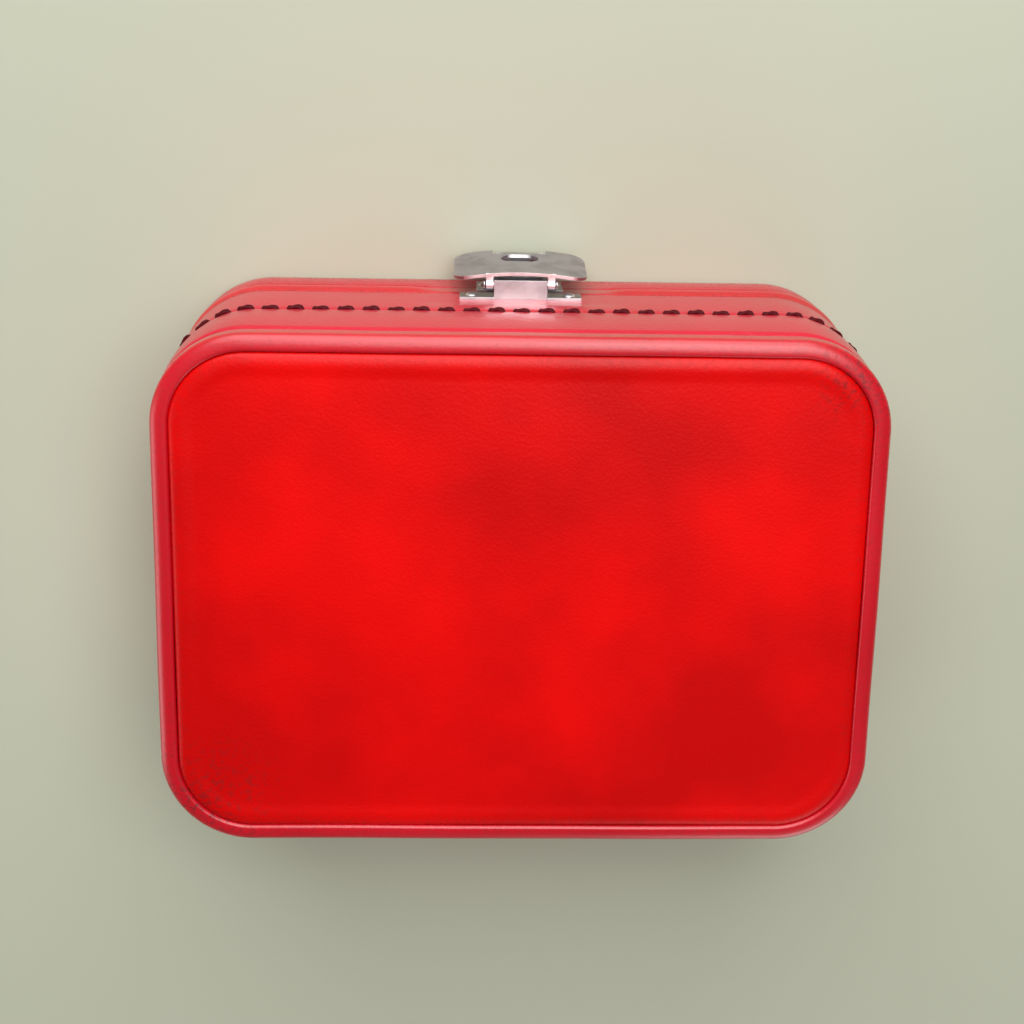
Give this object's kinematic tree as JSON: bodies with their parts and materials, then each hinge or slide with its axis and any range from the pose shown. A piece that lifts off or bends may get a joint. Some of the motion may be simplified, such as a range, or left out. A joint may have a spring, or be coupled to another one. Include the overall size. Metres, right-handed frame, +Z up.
{
  "type": "sewing box",
  "caption": "Hinged red vinyl sewing case with a hasp latch and two trays that rise and step back on arms as the lid opens.",
  "frame": {"origin": "middle of the underside, on the surface it rests on, centred between the walls", "axes": "+X across the width, +Y towards the hinges (the latch faces -Y), +Z up with the case lying flat and closed"},
  "size_m": [0.2506, 0.2041, 0.095],
  "materials": {
    "board": "matt fibreboard",
    "red_vinyl": "glossy pebble-grain vinyl",
    "binding": "glossy rolled vinyl binding",
    "rim_bead": "glossy rolled vinyl bead",
    "bottom_vinyl": "worn pebble-grain vinyl",
    "top_vinyl": "glossy pebble-grain vinyl, padded",
    "thread": "waxed two-ply thread",
    "lining": "woven lining cloth",
    "quilted_satin": "quilted satin",
    "hinge_steel": "nickel plated",
    "pin_steel": "drawn wire",
    "rivet_steel": "nickel plated",
    "latch_steel": "satin nickel",
    "hasp_steel": "satin nickel, worn edges",
    "link_plate": "zinc plated",
    "link_arm": "zinc plated",
    "tray_plastic": "moulded, satin"
  },
  "bodies": {
    "base": {"base_shell": "board", "base_cover": "red_vinyl", "base_binding": "binding", "bottom_panel": "bottom_vinyl", "base_lining": "lining", "base_hinge_leaf_left": "hinge_steel", "base_hinge_leaf_right": "hinge_steel", "hinge_pin_left": "pin_steel", "hinge_pin_right": "pin_steel", "base_leaf_rivets": "rivet_steel", "catch_plate": "latch_steel", "catch_plate_rivets": "rivet_steel", "base_link_plate_left": "link_plate", "base_link_plate_right": "link_plate", "base_link_rivets": "rivet_steel", "arm_pivot_studs": "rivet_steel"},
    "lid": {"lid_shell": "board", "lid_cover": "red_vinyl", "lid_rim_bead": "rim_bead", "lid_top_pad": "top_vinyl", "lid_stitching": "thread", "lid_lining": "lining", "lid_quilted_pad": "quilted_satin", "lid_hinge_leaf_left": "hinge_steel", "lid_hinge_leaf_right": "hinge_steel", "lid_leaf_rivets": "rivet_steel", "hasp_bracket": "latch_steel", "hasp_pin": "pin_steel", "bracket_rivets": "rivet_steel", "lid_link_plate_left": "link_plate", "lid_link_plate_right": "link_plate", "lid_link_rivets": "rivet_steel", "tray_pivot_studs": "rivet_steel"},
    "hasp": {"hasp_plate": "hasp_steel"},
    "catch": {"catch_button": "latch_steel"},
    "upper_tray": {"upper_tray": "tray_plastic", "upper_tray_studs": "rivet_steel"},
    "lower_tray": {"lower_tray": "tray_plastic", "lower_tray_studs": "rivet_steel"},
    "upper_arms": {"upper_arm_left": "link_arm", "upper_arm_right": "link_arm"},
    "lower_arms": {"lower_arm_left": "link_arm", "lower_arm_right": "link_arm"}
  },
  "joints": [
    {"name": "lid_hinge", "type": "hinge", "parent": "base", "child": "lid", "pos_m": [0, 0.096, 0.026], "axis": [-1, 0, 0], "range_deg": [0, 105]},
    {"name": "hasp_hinge", "type": "hinge", "parent": "lid", "child": "hasp", "pos_m": [0, -0.098, 0.0335], "axis": [-1, 0, 0], "range_deg": [0, 100]},
    {"name": "catch_press", "type": "slide", "parent": "base", "child": "catch", "axis": [0, 1, 0], "range_m": [0, 0.0012], "stiffness_N_per_m": 400},
    {"name": "upper_tray_pivot", "type": "hinge", "parent": "lid", "child": "upper_tray", "pos_m": [0, 0.03, 0.048], "axis": [-1, 0, 0], "range_deg": [-105, 0]},
    {"name": "lower_tray_pivot", "type": "hinge", "parent": "lid", "child": "lower_tray", "pos_m": [0, 0.059, 0.027], "axis": [-1, 0, 0], "range_deg": [-105, 0]},
    {"name": "upper_arm_pivot", "type": "hinge", "parent": "base", "child": "upper_arms", "pos_m": [0, 0.03, 0.027], "axis": [-1, 0, 0], "range_deg": [0, 105]},
    {"name": "lower_arm_pivot", "type": "hinge", "parent": "base", "child": "lower_arms", "pos_m": [0, 0.012, 0.024], "axis": [-1, 0, 0], "range_deg": [0, 105]}
  ],
  "couplings": [
    {"joint": "upper_tray_pivot", "follows": "lid_hinge", "ratio": -1},
    {"joint": "lower_tray_pivot", "follows": "lid_hinge", "ratio": -1},
    {"joint": "upper_arm_pivot", "follows": "lid_hinge", "ratio": 1},
    {"joint": "lower_arm_pivot", "follows": "lid_hinge", "ratio": 1}
  ]
}
